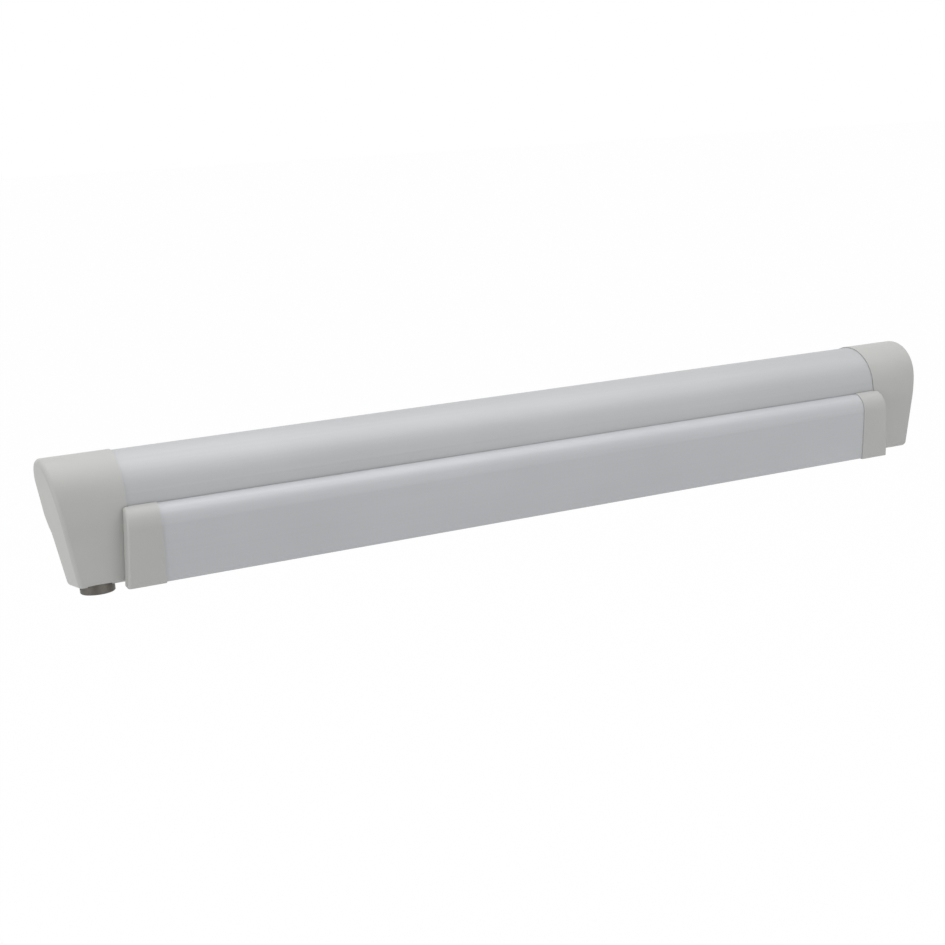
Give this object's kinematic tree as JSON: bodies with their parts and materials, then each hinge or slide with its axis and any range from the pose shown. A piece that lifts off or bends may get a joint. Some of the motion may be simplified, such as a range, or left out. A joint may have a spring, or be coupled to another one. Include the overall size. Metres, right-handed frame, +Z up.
{
  "type": "roll out awning",
  "caption": "Closed cassette awning for a caravan or camper: a roller in an extruded housing, folding arms, a lead rail with stowed support legs and a crank drive.",
  "frame": {"origin": "middle of the flat rear face of the cassette housing that lies on the vehicle, level with the roller axis", "axes": "+X along the cassette, to the right as seen from the front; +Y out of the back, into the vehicle wall; +Z up"},
  "size_m": [1.0926, 0.1087, 0.1379],
  "materials": {
    "cassette_metal": "silver anodised, satin",
    "lead_metal": "silver anodised, satin",
    "cap_plastic": "moulded, fine grain",
    "lead_cap_plastic": "moulded, fine grain",
    "cast_metal": "die cast, matt",
    "bush_plastic": "moulded",
    "roller_steel": "galvanised",
    "gear_bronze": "machined",
    "dark_steel": "blackened, worn",
    "screw_steel": "zinc plated",
    "awning_fabric": "woven, coated",
    "arm_metal": "powder coated",
    "arm_casting": "die cast, painted grey",
    "spring_steel": "oiled",
    "keder_plastic": "extruded",
    "dark_plastic": "moulded",
    "leg_metal": "mill finish"
  },
  "bodies": {
    "cassette": {"cassette_housing": "cassette_metal", "side_plate_left": "cast_metal", "side_plate_right": "cast_metal", "side_plate_screws": "screw_steel", "end_cap_left": "cap_plastic", "end_cap_right": "cap_plastic", "end_cap_screws": "screw_steel", "gearbox_housing": "cast_metal", "gearbox_cover": "cast_metal", "gearbox_screws": "screw_steel", "roller_bush": "bush_plastic", "shoulder_bracket_left": "cast_metal", "shoulder_bracket_right": "cast_metal", "shoulder_pins": "screw_steel", "shoulder_screws": "screw_steel"},
    "roller": {"roller_tube": "roller_steel", "drive_plug": "cast_metal", "idler_plug": "cast_metal", "worm_wheel": "gear_bronze", "fabric_roll": "awning_fabric"},
    "crank_drive": {"worm_shaft": "dark_steel", "crank_socket": "dark_steel", "socket_pins": "screw_steel"},
    "lead_rail": {"lead_rail_profile": "lead_metal", "lead_cap_left": "lead_cap_plastic", "lead_cap_right": "lead_cap_plastic", "wrist_bracket_left": "cast_metal", "wrist_bracket_right": "cast_metal", "wrist_pins": "screw_steel", "wrist_screws": "screw_steel", "leg_hinge_left": "dark_plastic", "leg_hinge_right": "dark_plastic", "leg_pins": "screw_steel", "front_keder": "keder_plastic"},
    "right_upper_arm": {"upper_arm_tube_right": "arm_metal", "shoulder_knuckle_right": "arm_casting", "elbow_fork_right": "arm_casting", "elbow_pin_right": "screw_steel"},
    "right_forearm": {"fore_arm_tube_right": "arm_metal", "elbow_tongue_right": "arm_casting", "wrist_knuckle_right": "arm_casting", "arm_spring_right": "spring_steel"},
    "right_leg": {"leg_tube_right": "leg_metal", "leg_knuckle_right": "dark_plastic", "leg_bush_right": "dark_plastic"},
    "right_leg_extension": {"leg_inner_tube_right": "leg_metal", "leg_foot_right": "dark_plastic"},
    "left_upper_arm": {"upper_arm_tube_left": "arm_metal", "shoulder_knuckle_left": "arm_casting", "elbow_fork_left": "arm_casting", "elbow_pin_left": "screw_steel"},
    "left_forearm": {"fore_arm_tube_left": "arm_metal", "elbow_tongue_left": "arm_casting", "wrist_knuckle_left": "arm_casting", "arm_spring_left": "spring_steel"},
    "left_leg": {"leg_tube_left": "leg_metal", "leg_knuckle_left": "dark_plastic", "leg_bush_left": "dark_plastic"},
    "left_leg_extension": {"leg_inner_tube_left": "leg_metal", "leg_foot_left": "dark_plastic"}
  },
  "joints": [
    {"name": "arm_unfold", "type": "hinge", "parent": "cassette", "child": "right_upper_arm", "pos_m": [0.426, -0.0392, -0.0578], "axis": [0, 0, 1], "range_deg": [0, 76]},
    {"name": "right_elbow", "type": "hinge", "parent": "right_upper_arm", "child": "right_forearm", "pos_m": [0.038, -0.0502, -0.0578], "axis": [0, 0, 1], "range_deg": [-152, 0]},
    {"name": "right_wrist", "type": "hinge", "parent": "right_forearm", "child": "lead_rail", "pos_m": [0.426, -0.0612, -0.0578], "axis": [0, 0, 1], "range_deg": [0, 76]},
    {"name": "left_shoulder", "type": "hinge", "parent": "cassette", "child": "left_upper_arm", "pos_m": [-0.426, -0.0392, -0.0578], "axis": [0, 0, 1], "range_deg": [-76, 0]},
    {"name": "left_elbow", "type": "hinge", "parent": "left_upper_arm", "child": "left_forearm", "pos_m": [-0.038, -0.0502, -0.0578], "axis": [0, 0, 1], "range_deg": [0, 152]},
    {"name": "roller_spin", "type": "hinge", "parent": "cassette", "child": "roller", "pos_m": [0, -0.04274, 0], "axis": [1, 0, 0], "continuous": true},
    {"name": "crank_turn", "type": "hinge", "parent": "cassette", "child": "crank_drive", "pos_m": [-0.5055, -0.06363, 0.00219], "axis": [0, 0.1045, 0.9945], "continuous": true},
    {"name": "right_leg_swing", "type": "hinge", "parent": "lead_rail", "child": "right_leg", "pos_m": [0.428, -0.09653, -0.066], "axis": [0, -1, 0], "range_deg": [0, 90]},
    {"name": "left_leg_swing", "type": "hinge", "parent": "lead_rail", "child": "left_leg", "pos_m": [-0.428, -0.08171, -0.066], "axis": [0, 1, 0], "range_deg": [0, 90]},
    {"name": "right_leg_extend", "type": "slide", "parent": "right_leg", "child": "right_leg_extension", "axis": [-1, 0, 0], "range_m": [0, 0.28]},
    {"name": "left_leg_extend", "type": "slide", "parent": "left_leg", "child": "left_leg_extension", "axis": [1, 0, 0], "range_m": [0, 0.28]}
  ],
  "couplings": [
    {"joint": "right_elbow", "follows": "arm_unfold", "ratio": -2},
    {"joint": "right_wrist", "follows": "arm_unfold", "ratio": 1},
    {"joint": "left_shoulder", "follows": "arm_unfold", "ratio": -1},
    {"joint": "left_elbow", "follows": "arm_unfold", "ratio": 2},
    {"joint": "crank_turn", "follows": "roller_spin", "ratio": 14}
  ]
}
